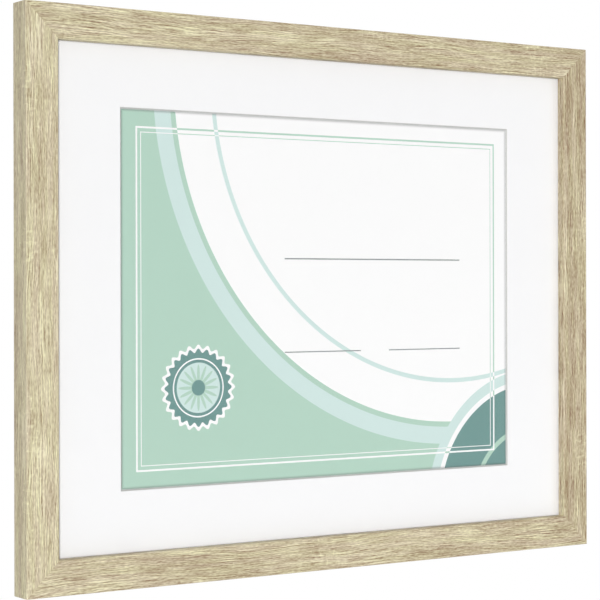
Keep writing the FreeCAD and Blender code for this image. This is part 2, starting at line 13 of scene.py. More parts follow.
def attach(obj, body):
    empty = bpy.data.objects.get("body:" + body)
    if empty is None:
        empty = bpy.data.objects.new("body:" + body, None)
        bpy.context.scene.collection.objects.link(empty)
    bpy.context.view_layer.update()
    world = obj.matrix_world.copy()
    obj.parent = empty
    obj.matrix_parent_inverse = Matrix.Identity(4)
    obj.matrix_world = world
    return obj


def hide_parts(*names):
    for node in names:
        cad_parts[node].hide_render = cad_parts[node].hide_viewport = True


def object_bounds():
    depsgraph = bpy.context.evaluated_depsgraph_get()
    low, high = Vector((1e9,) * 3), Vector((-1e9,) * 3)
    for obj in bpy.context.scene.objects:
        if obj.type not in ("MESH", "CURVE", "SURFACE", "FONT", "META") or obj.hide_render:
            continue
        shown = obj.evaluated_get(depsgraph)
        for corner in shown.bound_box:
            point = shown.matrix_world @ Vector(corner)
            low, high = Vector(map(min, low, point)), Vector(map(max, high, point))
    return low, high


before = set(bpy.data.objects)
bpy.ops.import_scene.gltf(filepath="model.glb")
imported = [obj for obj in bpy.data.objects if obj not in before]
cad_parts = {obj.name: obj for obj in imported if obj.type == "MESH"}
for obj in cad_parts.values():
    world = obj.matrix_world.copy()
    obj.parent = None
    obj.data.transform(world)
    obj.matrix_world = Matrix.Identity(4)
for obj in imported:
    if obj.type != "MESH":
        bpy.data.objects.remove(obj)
cad_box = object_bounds()
MM = 0.001

# The viewpoint of the photograph: just over a metre away and 34 degrees to the left of the frame's front,
# level with the frame, through a long lens. The small shift keeps the upright edges upright, and the
# photograph leans by a tenth of a degree.
camera_data = bpy.data.cameras.new("camera")
camera_data.lens = 117.512
camera_data.sensor_width = 36.0
camera_data.shift_y = -0.01775
camera = bpy.data.objects.new("camera", camera_data)
camera.location = (-0.6311, -0.9158, -0.1381)
camera.rotation_euler = (math.radians(90), math.radians(0.117), math.radians(-34.131))
bpy.context.scene.collection.objects.link(camera)
bpy.context.scene.camera = camera
bpy.context.scene.view_settings.view_transform = "Standard"


# The studio: a white room that lights the frame evenly, a soft lamp far in front, near the viewpoint, a faint
# broad one above and one behind. The room is pure white to the eye and in reflections, and dimmer as a light.
def hex_colour(code):
    """An sRGB colour such as "#C9BC97" as linear RGBA."""
    parts = [int(code[start:start + 2], 16) / 255 for start in (1, 3, 5)]
    return [part / 12.92 if part < 0.04045 else ((part + 0.055) / 1.055) ** 2.4 for part in parts] + [1]


def set_inputs(node, inputs):
    """Give a node's inputs a value, an sRGB code, a socket, or a node for its first output."""
    for key, value in inputs.items():
        if isinstance(key, str):
            socket = next(item for item in node.inputs if item.enabled and item.name == key)
        else:
            socket = node.inputs[key]
        if isinstance(value, bpy.types.Node):
            value = next(item for item in value.outputs if item.enabled)
        if isinstance(value, bpy.types.NodeSocket):
            node.id_data.links.new(value, socket)
        elif isinstance(value, str) and value.startswith("#"):
            socket.default_value = hex_colour(value)
        else:
            socket.default_value = value


def add_node(tree, kind, inputs=None, **settings):
    """Add a node with its settings and its inputs."""
    node = tree.nodes.new(kind)
    for name, value in settings.items():
        setattr(node, name, value)
    set_inputs(node, inputs or {})
    return node


room_light = 0.31
world = bpy.data.worlds.new("white room")
world.use_nodes = True
bpy.context.scene.world = world
tree = world.node_tree
path = add_node(tree, "ShaderNodeLightPath")
eye = add_node(
    tree, "ShaderNodeMath", {0: path.outputs["Is Camera Ray"], 1: path.outputs["Is Glossy Ray"]},
    operation="MAXIMUM",
)
seen = add_node(tree, "ShaderNodeMath", {0: eye, 1: path.outputs["Is Transmission Ray"]}, operation="MAXIMUM")
strength = add_node(
    tree, "ShaderNodeMath", {0: seen, 1: 1 - room_light, 2: room_light}, operation="MULTIPLY_ADD",
)
set_inputs(tree.nodes["Background"], {"Color": (1, 1, 1, 1), "Strength": strength})

# Each lamp's direction round and above the frame, its softness, all in degrees, and its power
lamps = {
    "front lamp": (-28, 0, 6, 2.12),
    "ceiling lamp": (-28, 60, 60, 0.2),
    "rear lamp": (160, 38, 30, 1.5),
}
for name, (azimuth, elevation, softness, power) in lamps.items():
    lamp_data = bpy.data.lights.new(name, "SUN")
    lamp_data.angle = math.radians(softness)
    lamp_data.energy = power
    lamp_object = bpy.data.objects.new(name, lamp_data)
    side = math.radians(azimuth)
    rise = math.radians(elevation)
    towards = Vector((math.sin(side) * math.cos(rise), -math.cos(side) * math.cos(rise), math.sin(rise)))
    lamp_object.rotation_euler = towards.to_track_quat("Z", "Y").to_euler()
    bpy.context.scene.collection.objects.link(lamp_object)


# The floor: a round of matt white board under the frame, small enough to stay out of the photograph's view.
# It takes the frame's soft shadow, and looks a little brighter to the eye, to blend into the white room.
def new_material(name):
    """A material, its node tree and its principled shader."""
    material = bpy.data.materials.new(name)
    material.use_nodes = True
    return material, material.node_tree, material.node_tree.nodes["Principled BSDF"]


def new_object(name, shape, materials=()):
    """An object, linked to the scene, for a mesh or for a shape that is being edited."""
    mesh = shape
    if isinstance(shape, bmesh.types.BMesh):
        mesh = bpy.data.meshes.new(name)
        shape.to_mesh(mesh)
        shape.free()
    for material in materials:
        mesh.materials.append(material)
    piece = bpy.data.objects.new(name, mesh)
    bpy.context.scene.collection.objects.link(piece)
    return piece


floor_drop = 250 * MM
floor_radius = 820 * MM
floor_glow = 0.24
floor_paint, tree, surface = new_material("matt white board")
path = add_node(tree, "ShaderNodeLightPath")
glow = add_node(
    tree, "ShaderNodeMath", {0: path.outputs["Is Camera Ray"], 1: floor_glow}, operation="MULTIPLY",
)
set_inputs(surface, {
    "Base Color": "#F4F4F4", "Roughness": 0.9, "Emission Color": "#FFFFFF", "Emission Strength": glow,
})
shape = bmesh.new()
floor_place = Matrix.Translation((0, 0, cad_box[0].z - floor_drop))
bmesh.ops.create_circle(shape, cap_ends=True, segments=96, radius=floor_radius, matrix=floor_place)
floor = new_object("floor", shape, [floor_paint])

# The moulding: four lengths of one L-section in pressed wood fibre, wrapped in an embossed oak print foil and
# chopped at 45 degrees. The foil covers the outer side, the face and the sight edge, and ends just round the
# back.
outer_width = 379.9 * MM
outer_height = 303.7 * MM
middle_height = -143.05 * MM
front_plane = -18.35 * MM
moulding_depth = 15.35 * MM
face_width = 18.5 * MM
lip_depth = 5.15 * MM
rebate_inset = 11.55 * MM
foil_turn_in = 4.0 * MM
mitre_ease = 0.1 * MM

# The foil's look: a satin-matt oak print. Tan and pale growth bands drift sideways along the rail, with fine
# lines and fibres over them, pale limed streaks that each have a groove beside them, darkened with painted
# shade, and a few pale flecks across the grain. The four lengths are cut from one stick, whose tone swings
# slowly from pale to tan.
# The stick's length is in millimetres, and each rail starts at its own metre of it.
stick_length = 3240
rail_grain_starts = {"top": 0.31, "right": 1.12, "bottom": 1.93, "left": 2.74}
foil, tree, surface = new_material("oak print foil, embossed, satin-matt")
place = add_node(tree, "ShaderNodeUVMap", uv_map="grain")
flat = add_node(tree, "ShaderNodeVectorMath", {0: place, "Scale": 1 / MM}, operation="SCALE")

# Each bend pushes the grain sideways: how long and wide its waves are, and how far it pushes, in millimetres
bent = flat
for length, width, reach in ((95, 22, 7.5), (16, 5, 1.2)):
    waves = add_node(tree, "ShaderNodeMapping", {"Vector": flat, "Scale": (1 / length, 1 / width, 1)})
    wave = add_node(tree, "ShaderNodeTexNoise", {"Vector": waves, "Scale": 1.0, "Detail": 1.0})
    push = add_node(tree, "ShaderNodeMath", {0: wave, 1: reach, 2: -reach / 2}, operation="MULTIPLY_ADD")
    push_across = add_node(tree, "ShaderNodeCombineXYZ", {"Y": push})
    bent = add_node(tree, "ShaderNodeVectorMath", {0: bent, 1: push_across}, operation="ADD")

# Each layer of marks: its place, their length and width and how far they are shifted along and across, in
# millimetres, and how many finer sizes of mark are laid over the first
grain_layers = {
    "bands": (bent, 130, 5.2, 0, 0, 1),
    "patches": (flat, 34, 8, 0, 0, 1),
    "lines": (bent, 15, 0.5, 0, 0, 2),
    "fibres": (bent, 2.8, 0.45, 0, 0, 1),
    "streaks": (bent, 18, 0.75, 0, 7, 2),
    "grooves": (bent, 18, 0.75, 0, 7.5, 2),
    "streak fields": (flat, 55, 6, 300, 0, 1),
    "flecks": (flat, 2.2, 5, 0, 0, 1),
    "fleck fields": (flat, 40, 26, 0, 90, 0),
    "tints": (bent, 45, 3.5, 0, 150, 2),
}
grain = {}
for name, (vector, length, width, along, across, detail) in grain_layers.items():
    marks = add_node(tree, "ShaderNodeMapping", {
        "Vector": vector, "Location": (along / length, across / width, 0),
        "Scale": (1 / length, 1 / width, 1),
    })
    grain[name] = add_node(tree, "ShaderNodeTexNoise", {"Vector": marks, "Scale": 1.0, "Detail": detail})

# Streaks, grooves with painted shade and flecks are clear marks where their noise is high, and come in fields
clear_marks = {}
for name, field, low, high in (
    ("streaks", "streak fields", 1.02, 1.24),
    ("grooves", "streak fields", 1.04, 1.26),
    ("flecks", "fleck fields", 1.28, 1.42),
):
    total = add_node(tree, "ShaderNodeMath", {0: grain[name], 1: grain[field]}, operation="ADD")
    clear_marks[name] = add_node(
        tree, "ShaderNodeMapRange", {"Value": total, "From Min": low, "From Max": high},
        interpolation_type="SMOOTHSTEP",
    )

# The tone runs from 0, dark tan, to 1, cream. Noise lies round 0.5, so half of each share is taken off again.
flat_at = add_node(tree, "ShaderNodeSeparateXYZ", {0: flat})
swing_step = 2 * math.pi / stick_length
swing_start = math.pi - swing_step * rail_grain_starts["top"] / MM
swing_at = add_node(
    tree, "ShaderNodeMath", {0: flat_at, 1: swing_step, 2: swing_start}, operation="MULTIPLY_ADD",
)
swing = add_node(tree, "ShaderNodeMath", {0: swing_at}, operation="SINE")
# The grooves take tone away: painted shade along one side of each pale streak
tone_shares = [(swing, 0.1), (clear_marks["streaks"], 0.32), (clear_marks["grooves"], -0.2)]
tone_shares += [(clear_marks["flecks"], 0.15)]
tone_shares += [(grain[name], share) for name, share in (
    ("bands", 0.46), ("patches", 0.28), ("lines", 1.5), ("fibres", 0.9),
)]
tone_middle = 0.507
tone = tone_middle - sum(share for source, share in tone_shares if source in grain.values()) / 2
for source, share in tone_shares:
    tone = add_node(tree, "ShaderNodeMath", {0: source, 1: share, 2: tone}, operation="MULTIPLY_ADD")
toned = add_node(tree, "ShaderNodeMix", {"Factor": tone, "A": "#7C593D", "B": "#F3EFD2"}, data_type="RGBA")

# The tint wanders between a pinkish and a yellowish one, as in real oak
tint_share = add_node(
    tree, "ShaderNodeMapRange", {"Value": grain["tints"], "From Min": 0.38, "From Max": 0.62},
)
tint = add_node(
    tree, "ShaderNodeMix", {"Factor": tint_share, "A": "#FFFAF6", "B": "#FEFDF0"}, data_type="RGBA",
)
printed = add_node(
    tree, "ShaderNodeMix", {"Factor": 1.0, "A": toned.outputs[2], "B": tint.outputs[2]}, data_type="RGBA",
    blend_type="MULTIPLY",
)
groove_sink = -0.8
relief = add_node(
    tree, "ShaderNodeMath", {0: clear_marks["grooves"], 1: groove_sink, 2: grain["lines"]},
    operation="MULTIPLY_ADD",
)
bump = add_node(tree, "ShaderNodeBump", {"Strength": 0.35, "Distance": 0.05 * MM, "Height": relief})
set_inputs(surface, {
    "Base Color": printed.outputs[2], "Normal": bump, "Roughness": 0.55, "Specular IOR Level": 0.4,
})

# The core's look: raw pressed wood fibre, light brown and matt, with short fibres and a faint mottle
core, tree, surface = new_material("raw wood fibre core, sawn")
mottle_size = 6 * MM
fibre_size = 0.7 * MM
fibre_weight = 0.7
place = add_node(tree, "ShaderNodeTexCoord").outputs["Object"]
mottle = add_node(tree, "ShaderNodeTexNoise", {"Vector": place, "Scale": 1 / mottle_size})
fibre = add_node(tree, "ShaderNodeTexNoise", {"Vector": place, "Scale": 1 / fibre_size, "Detail": 3.0})
fibre_mix = add_node(tree, "ShaderNodeMath", {0: fibre, 1: fibre_weight, 2: mottle}, operation="MULTIPLY_ADD")
fibre_share = add_node(tree, "ShaderNodeMapRange", {"Value": fibre_mix, "From Min": 0.55, "From Max": 1.15})
core_colour = add_node(
    tree, "ShaderNodeMix", {"Factor": fibre_share, "A": "#A68A66", "B": "#CDB48D"}, data_type="RGBA",
)
bump = add_node(tree, "ShaderNodeBump", {"Strength": 0.4, "Distance": 0.1 * MM, "Height": fibre})
set_inputs(surface, {"Base Color": core_colour.outputs[2], "Normal": bump, "Roughness": 0.85})


# The moulding's shape: the section is rounded at its arrises, run along the rail and cut off at the mitres,
# and the slots and holes are cut from the rear. It is drawn for the top rail and then turned to its side.
def new_shape_tree(name, inputs):
    """A geometry tree with a mesh in, a mesh out and the given named inputs."""
    shape_tree = bpy.data.node_groups.new(name, "GeometryNodeTree")
    shape_tree.interface.new_socket("Geometry", in_out="OUTPUT", socket_type="NodeSocketGeometry")
    shape_tree.interface.new_socket("Geometry", in_out="INPUT", socket_type="NodeSocketGeometry")
    for label, kind in inputs.items():
        shape_tree.interface.new_socket(label, in_out="INPUT", socket_type=f"NodeSocket{kind}")
    return shape_tree, add_node(shape_tree, "NodeGroupInput")


def run_shape_tree(piece, shape_tree, values):
    """Run a geometry tree on an object with its named inputs, and keep the result as its plain mesh."""
    modifier = piece.modifiers.new(shape_tree.name, "NODES")
    modifier.node_group = shape_tree
    for item in shape_tree.interface.items_tree:
        if item.in_out == "INPUT" and item.name in values:
            modifier[item.identifier] = values[item.name]
    keep_result(piece)


def keep_result(piece):
    """Turn an object's modifiers into its plain mesh."""
    graph = bpy.context.evaluated_depsgraph_get()
    graph.update()
    finished = piece.evaluated_get(graph)
    mesh = bpy.data.meshes.new_from_object(finished, preserve_all_data_layers=True, depsgraph=graph)
    piece.modifiers.clear()
    piece.data = mesh


moulding_tree, given = new_shape_tree("mitred moulding", {
    "Length": "Float", "Reach": "Float", "Turn": "Float", "Grain Start": "Float", "Cutouts": "Object",
    "Face Width": "Float", "Depth": "Float", "Lip Depth": "Float", "Foil Turn-in": "Float",
    "Mitre Ease": "Float",
})
tree = moulding_tree
arris_steps = 6
run_stations = 4
section = add_node(tree, "GeometryNodeMeshToCurve", {"Mesh": given.outputs["Geometry"]})
radius = add_node(tree, "GeometryNodeInputNamedAttribute", {"Name": "corner_radius"}, data_type="FLOAT")
rounded = add_node(
    tree, "GeometryNodeFilletCurve", {"Curve": section, "Count": arris_steps, "Radius": radius}, mode="POLY",
)
position = add_node(tree, "GeometryNodeInputPosition")
tangent = add_node(tree, "GeometryNodeInputTangent")
section_kept = add_node(tree, "GeometryNodeCaptureAttribute", {"Geometry": rounded})
section_kept.capture_items.new("VECTOR", "section point")
section_kept.capture_items.new("VECTOR", "section direction")
set_inputs(section_kept, {1: position, 2: tangent})
run = add_node(tree, "GeometryNodeCurvePrimitiveLine", {"Start": (-1, 0, 0), "End": (1, 0, 0)})
run_points = add_node(tree, "GeometryNodeResampleCurve", {"Curve": run, "Count": run_stations})
run_kept = add_node(tree, "GeometryNodeCaptureAttribute", {"Geometry": run_points})
run_kept.capture_items.new("VECTOR", "run point")
set_inputs(run_kept, {1: position})
swept = add_node(tree, "GeometryNodeCurveToMesh", {
    "Curve": run_kept.outputs["Geometry"], "Profile Curve": section_kept.outputs["Geometry"],
    "Fill Caps": True,
})

# The run goes from -1 to 1 along the rail. Its end stations go to the mitres, less the ease of the section,
# and the section's own points say how far across and how deep each point lies.
end_share = 0.9
run_at = add_node(tree, "ShaderNodeSeparateXYZ", {0: run_kept.outputs[1]})
side_sign = add_node(tree, "ShaderNodeMath", {0: run_at}, operation="SIGN")
run_share = add_node(tree, "ShaderNodeMath", {0: run_at}, operation="ABSOLUTE")
is_end = add_node(tree, "ShaderNodeMath", {0: run_share, 1: end_share}, operation="GREATER_THAN")
end_ease = add_node(tree, "ShaderNodeMath", {0: is_end, 1: given.outputs["Mitre Ease"]}, operation="MULTIPLY")
inner_ease = add_node(
    tree, "ShaderNodeMath", {0: given.outputs["Mitre Ease"], 1: end_ease}, operation="SUBTRACT",
)
inwards = add_node(
    tree, "ShaderNodeVectorMath", {0: section_kept.outputs[2], 1: (0, 0, -1)}, operation="CROSS_PRODUCT",
)
eased_by = add_node(tree, "ShaderNodeVectorMath", {0: inwards, "Scale": end_ease}, operation="SCALE")
eased = add_node(tree, "ShaderNodeVectorMath", {0: section_kept.outputs[1], 1: eased_by}, operation="ADD")
eased_at = add_node(tree, "ShaderNodeSeparateXYZ", {0: eased})
half_length = add_node(tree, "ShaderNodeMath", {0: given.outputs["Length"], 1: 0.5}, operation="MULTIPLY")
to_mitre = add_node(tree, "ShaderNodeMath", {0: half_length, 1: eased_at}, operation="SUBTRACT")
along_half = add_node(tree, "ShaderNodeMath", {0: to_mitre, 1: inner_ease}, operation="SUBTRACT")
along = add_node(tree, "ShaderNodeMath", {0: along_half, 1: side_sign}, operation="MULTIPLY")
up = add_node(tree, "ShaderNodeMath", {0: given.outputs["Reach"], 1: eased_at}, operation="SUBTRACT")
rail_point = add_node(tree, "ShaderNodeCombineXYZ", {"X": along, "Y": eased_at.outputs["Y"], "Z": up})
chopped = add_node(tree, "GeometryNodeSetPosition", {"Geometry": swept, "Position": rail_point})

cutouts = add_node(tree, "GeometryNodeObjectInfo", {"Object": given.outputs["Cutouts"]})
drilled = add_node(
    tree, "GeometryNodeMeshBoolean", {0: chopped, 1: cutouts.outputs["Geometry"]}, operation="DIFFERENCE",
    solver="EXACT",
)

# The foil lies unfolded on the grain: its width runs over the outer side, the face and the sight edge
here = add_node(tree, "ShaderNodeSeparateXYZ", {0: position})
depth = here.outputs["Y"]
inset = add_node(
    tree, "ShaderNodeMath", {0: given.outputs["Reach"], 1: here.outputs["Z"]}, operation="SUBTRACT",
)
sight = add_node(tree, "ShaderNodeMath", {0: given.outputs["Face Width"], 1: inset}, operation="SUBTRACT")
nearer = add_node(tree, "ShaderNodeMath", {0: inset, 1: sight}, operation="SUBTRACT")
fold_sign = add_node(tree, "ShaderNodeMath", {0: nearer}, operation="SIGN")
unfolded = add_node(tree, "ShaderNodeMath", {0: fold_sign, 1: depth, 2: inset}, operation="MULTIPLY_ADD")
grain_along = add_node(tree, "ShaderNodeMath", {0: here, 1: given.outputs["Grain Start"]}, operation="ADD")
grain_place = add_node(tree, "ShaderNodeCombineXYZ", {"X": grain_along, "Y": unfolded})
mapped = add_node(
    tree, "GeometryNodeStoreNamedAttribute", {"Geometry": drilled, "Name": "grain", "Value": grain_place},
    data_type="FLOAT2", domain="CORNER",
)

# Faces within a thin skin of the front, the sides and the turned-in strip at the back are foil, the rest core
skin = 0.45 * MM
behind_lip = add_node(
    tree, "ShaderNodeMath", {0: depth, 1: given.outputs["Lip Depth"]}, operation="GREATER_THAN",
)
sight_or_none = add_node(tree, "ShaderNodeMath", {0: behind_lip, 1: 1.0, 2: sight}, operation="MULTIPLY_ADD")
from_sides = add_node(tree, "ShaderNodeMath", {0: inset, 1: sight_or_none}, operation="MINIMUM")
from_skin = add_node(tree, "ShaderNodeMath", {0: from_sides, 1: depth}, operation="MINIMUM")
on_front = add_node(tree, "ShaderNodeMath", {0: from_skin, 1: skin}, operation="LESS_THAN")
from_rear = add_node(tree, "ShaderNodeMath", {0: given.outputs["Depth"], 1: depth}, operation="SUBTRACT")
at_rear = add_node(tree, "ShaderNodeMath", {0: from_rear, 1: skin}, operation="LESS_THAN")
by_edge = add_node(
    tree, "ShaderNodeMath", {0: inset, 1: given.outputs["Foil Turn-in"]}, operation="LESS_THAN",
)
turned_in = add_node(tree, "ShaderNodeMath", {0: at_rear, 1: by_edge}, operation="MULTIPLY")
covered = add_node(tree, "ShaderNodeMath", {0: on_front, 1: turned_in}, operation="MAXIMUM")
cored = add_node(tree, "GeometryNodeSetMaterial", {"Geometry": mapped, "Material": core})
wrapped = add_node(
    tree, "GeometryNodeSetMaterial", {"Geometry": cored, "Selection": covered, "Material": foil},
)

# Only the rounded arrises are shaded smooth: faces that lean a little, apart from the mitres
flat_limit = 0.9995
mitre_limit = 0.1
facing = add_node(tree, "GeometryNodeInputNormal")
facing_at = add_node(tree, "ShaderNodeVectorMath", {0: facing}, operation="ABSOLUTE")
facing_parts = add_node(tree, "ShaderNodeSeparateXYZ", {0: facing_at})
steepest = add_node(
    tree, "ShaderNodeMath", {0: facing_parts.outputs["Y"], 1: facing_parts.outputs["Z"]}, operation="MAXIMUM",
)
slanted = add_node(tree, "ShaderNodeMath", {0: steepest, 1: flat_limit}, operation="LESS_THAN")
not_mitre = add_node(tree, "ShaderNodeMath", {0: facing_parts, 1: mitre_limit}, operation="LESS_THAN")
is_arris = add_node(tree, "ShaderNodeMath", {0: slanted, 1: not_mitre}, operation="MULTIPLY")
shaded = add_node(tree, "GeometryNodeSetShadeSmooth", {"Geometry": wrapped, "Shade Smooth": is_arris})
turn_about = add_node(tree, "ShaderNodeCombineXYZ", {"Y": given.outputs["Turn"]})
placed = add_node(tree, "GeometryNodeTransform", {
    "Geometry": shaded, "Translation": (0, front_plane, middle_height), "Rotation": turn_about,
})
add_node(tree, "NodeGroupOutput", {"Geometry": placed})

# Corners of the section: inset from the outer edge, depth behind the face, and the radius of the corner
section_corners = [
    (0, 0, 0.5 * MM),
    (face_width, 0, 0.8 * MM),
    (face_width, lip_depth, 0),
    (rebate_inset, lip_depth, 0),
    (rebate_inset, moulding_depth, 0),
    (foil_turn_in, moulding_depth, 0),
    (0, moulding_depth, 1.2 * MM),
]
corner_nail_insets = [3.6 * MM, 7.8 * MM]
nail_slot_half = 0.33 * MM
nail_slot_length = 5.03 * MM
nail_slot_depth = 7.3 * MM
pivot_corner_inset = 78 * MM
pivot_edge_inset = 6 * MM
pilot_radius = 1.47 * MM
pilot_depth = 8.32 * MM
hanger_nail_half_pitch = 18.25 * MM
hanger_nail_inset = 5.8 * MM
hanger_hole_radius = 0.82 * MM
hanger_hole_depth = 8.22 * MM
drill_sides = 20
overrun = 1 * MM


def add_cut_box(shape, low, high):
    """A box between two corners."""
    middle = (Vector(low) + Vector(high)) / 2
    span = Vector(high) - Vector(low)
    box_place = Matrix.LocRotScale(middle, None, [abs(part) for part in span])
    bmesh.ops.create_cube(shape, size=1, matrix=box_place)


def add_drill(shape, across, height, radius, drill_depth):
    """A round bar from behind the moulding to the bottom of a hole."""
    length = drill_depth + overrun
    middle = (across, moulding_depth + overrun - length / 2, height)
    bmesh.ops.create_cone(
        shape, cap_ends=True, segments=drill_sides, radius1=radius, radius2=radius, depth=length,
        matrix=Matrix.Translation(middle) @ Matrix.Rotation(math.radians(90), 4, "X"),
    )


# The rails clockwise from the top: turn, length, half the frame across, and whether it carries a hanger
rails = {
    "top": (0, outer_width, outer_height / 2, True),
    "right": (90, outer_height, outer_width / 2, True),
    "bottom": (180, outer_width, outer_height / 2, False),
    "left": (270, outer_height, outer_width / 2, False),
}
for side, (turn, length, reach, has_hanger) in rails.items():
    shape = bmesh.new()
    for sign in (-1, 1):
        for nail_inset in corner_nail_insets:
            start = sign * (length / 2 - nail_inset + nail_slot_half)
            stop = sign * (length / 2 - nail_inset - nail_slot_length)
            add_cut_box(
                shape,
                (start, moulding_depth - nail_slot_depth, reach - nail_inset - nail_slot_half),
                (stop, moulding_depth + overrun, reach - nail_inset + nail_slot_half),
            )
        pivot_along = sign * (length / 2 - pivot_corner_inset)
        add_drill(shape, pivot_along, reach - pivot_edge_inset, pilot_radius, pilot_depth)
        if has_hanger:
            nail_along = sign * hanger_nail_half_pitch
            add_drill(shape, nail_along, reach - hanger_nail_inset, hanger_hole_radius, hanger_hole_depth)
    bmesh.ops.recalc_face_normals(shape, faces=shape.faces)
    cutters = new_object(f"{side} rail cutouts", shape)

    section_mesh = bpy.data.meshes.new(f"{side} rail section")
    count = len(section_corners)
    edges = [(index, (index + 1) % count) for index in range(count)]
    section_mesh.from_pydata([(across, back, 0) for across, back, radius in section_corners], edges, [])
    radii = section_mesh.attributes.new("corner_radius", "FLOAT", "POINT")
    radii.data.foreach_set("value", [radius for across, back, radius in section_corners])
    rail = new_object(f"moulding_{side}", section_mesh)
    run_shape_tree(rail, moulding_tree, {
        "Length": length, "Reach": reach, "Turn": math.radians(turn), "Grain Start": rail_grain_starts[side],
        "Cutouts": cutters, "Face Width": face_width, "Depth": moulding_depth, "Lip Depth": lip_depth,
        "Foil Turn-in": foil_turn_in, "Mitre Ease": mitre_ease,
    })
    bpy.data.objects.remove(cutters)
    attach(rail, "frame")
    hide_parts(f"rail_{side}")

# The glazing: a 2 mm sheet of clear acrylic laid against the lip, glossy on both sides. It bends light as
# acrylic does, reflects only the little that the photograph shows, and lets lamplight pass.
def finish_cad_piece(name, material):
    """Give a CAD piece that keeps its own mesh its finish."""
    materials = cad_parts[name].data.materials
    materials.clear()
    materials.append(material)


clear, tree, surface = new_material("clear acrylic sheet, polished")
place = add_node(tree, "ShaderNodeTexCoord").outputs["Object"]
ripple = 90 * MM
waves = add_node(tree, "ShaderNodeTexNoise", {"Vector": place, "Scale": 1 / ripple, "Detail": 0.0})
bump = add_node(tree, "ShaderNodeBump", {"Strength": 0.1, "Distance": 0.05 * MM, "Height": waves})
set_inputs(surface, {
    "Base Color": (1, 1, 1, 1), "Transmission Weight": 1.0, "Roughness": 0.0, "IOR": 1.49,
    "Specular IOR Level": 0.2, "Normal": bump,
})
path = add_node(tree, "ShaderNodeLightPath")
lit_through = add_node(
    tree, "ShaderNodeMath", {0: path.outputs["Is Shadow Ray"], 1: path.outputs["Is Diffuse Ray"]},
    operation="MAXIMUM",
)
see_through = add_node(tree, "ShaderNodeBsdfTransparent")
pane = add_node(tree, "ShaderNodeMixShader", {0: lit_through, 1: surface, 2: see_through})
set_inputs(tree.nodes["Material Output"], {"Surface": pane})
finish_cad_piece("glazing_sheet", clear)

# The mat: a thin pulp board with smooth white paper on both faces. Its window is cut with a knife held at 45
# degrees, so the pale grey core shows as a thin slope all round, with painted shade darkest along its foot.
sheet_width = 355.6 * MM
sheet_height = 279.4 * MM
mat_front = -11.12 * MM
mat_thickness = 0.96 * MM
mat_paper_thickness = 0.12 * MM
window_width = 262.6 * MM
window_height = 200.3 * MM

# The paper's look: smooth matt white, with a fine tooth and the faintest clouds
tooth_size = 0.5 * MM
cloud_size = 14 * MM
paper, tree, surface = new_material("white mat paper, smooth and matt")
place = add_node(tree, "ShaderNodeTexCoord").outputs["Object"]
tooth = add_node(tree, "ShaderNodeTexNoise", {"Vector": place, "Scale": 1 / tooth_size, "Detail": 3.0})
cloud = add_node(tree, "ShaderNodeTexNoise", {"Vector": place, "Scale": 1 / cloud_size, "Detail": 2.0})
paper_colour = add_node(
    tree, "ShaderNodeMix", {"Factor": cloud, "A": "#F8F8F9", "B": "#FAFAFB"}, data_type="RGBA",
)
bump = add_node(tree, "ShaderNodeBump", {"Strength": 0.25, "Distance": 0.02 * MM, "Height": tooth})
set_inputs(surface, {
    "Base Color": paper_colour.outputs[2], "Normal": bump, "Roughness": 0.9, "Specular IOR Level": 0.2,
})

# The core's look: pale grey pulp with short fibres, with painted shade that deepens towards the foot of the
# slope
pulp_fibre_size = 0.4 * MM
foot_shade_curve = 2.0
pulp, tree, surface = new_material("pale grey pulp core, knife-cut")
place = add_node(tree, "ShaderNodeTexCoord").outputs["Object"]
pulp_noise = add_node(
    tree, "ShaderNodeTexNoise", {"Vector": place, "Scale": 1 / pulp_fibre_size, "Detail": 3.0},
)
pulp_colour = add_node(
    tree, "ShaderNodeMix", {"Factor": pulp_noise, "A": "#CCCBC9", "B": "#DAD9D7"}, data_type="RGBA",
)
pulp_at = add_node(tree, "ShaderNodeSeparateXYZ", {0: place})
pulp_depth = add_node(tree, "ShaderNodeMapRange", {
    "Value": pulp_at.outputs["Y"], "From Min": mat_front, "From Max": mat_front + mat_thickness,
})
foot_shade_share = add_node(tree, "ShaderNodeMath", {0: pulp_depth, 1: foot_shade_curve}, operation="POWER")
# Painted shade: the pulp's colour darkens towards the foot of the slope
shaded_pulp = add_node(
    tree, "ShaderNodeMix", {"Factor": foot_shade_share, "A": pulp_colour.outputs[2], "B": "#8A8B89"},
    data_type="RGBA",
)
set_inputs(surface, {"Base Color": shaded_pulp.outputs[2], "Roughness": 0.95, "Specular IOR Level": 0.1})

# Four loops of corners go round the outer edge and four round the window, through the layers of the board,
# and strips of paper (0) and core (1) join them. The window's loops spread towards the front.
shape = bmesh.new()
mat_levels = [0, mat_paper_thickness, mat_thickness - mat_paper_thickness, mat_thickness]
loops = []
for width, height, slope in ((sheet_width, sheet_height, 0), (window_width, window_height, 1)):
    for level in mat_levels:
        spread = slope * (mat_thickness - level)
        far_x = width / 2 + spread
        far_z = height / 2 + spread
        loops.append([
            shape.verts.new((across * far_x, mat_front + level, middle_height + upright * far_z))
            for across, upright in ((-1, -1), (1, -1), (1, 1), (-1, 1))
        ])
outer_loops, window_loops = loops[:4], loops[4:]
strips = [(outer_loops[0], window_loops[0], 0), (outer_loops[3], window_loops[3], 0)]
for side_loops in (outer_loops, window_loops):
    strips += [
        (side_loops[level], side_loops[level + 1], finish) for level, finish in enumerate((0, 1, 0))
    ]
for first, second, finish in strips:
    for index in range(4):
        after = (index + 1) % 4
        face = shape.faces.new((first[index], first[after], second[after], second[index]))
        face.material_index = finish
bmesh.ops.recalc_face_normals(shape, faces=shape.faces)
mat = new_object("window_mat", shape, [paper, pulp])
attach(mat, "frame")
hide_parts("mat_board")

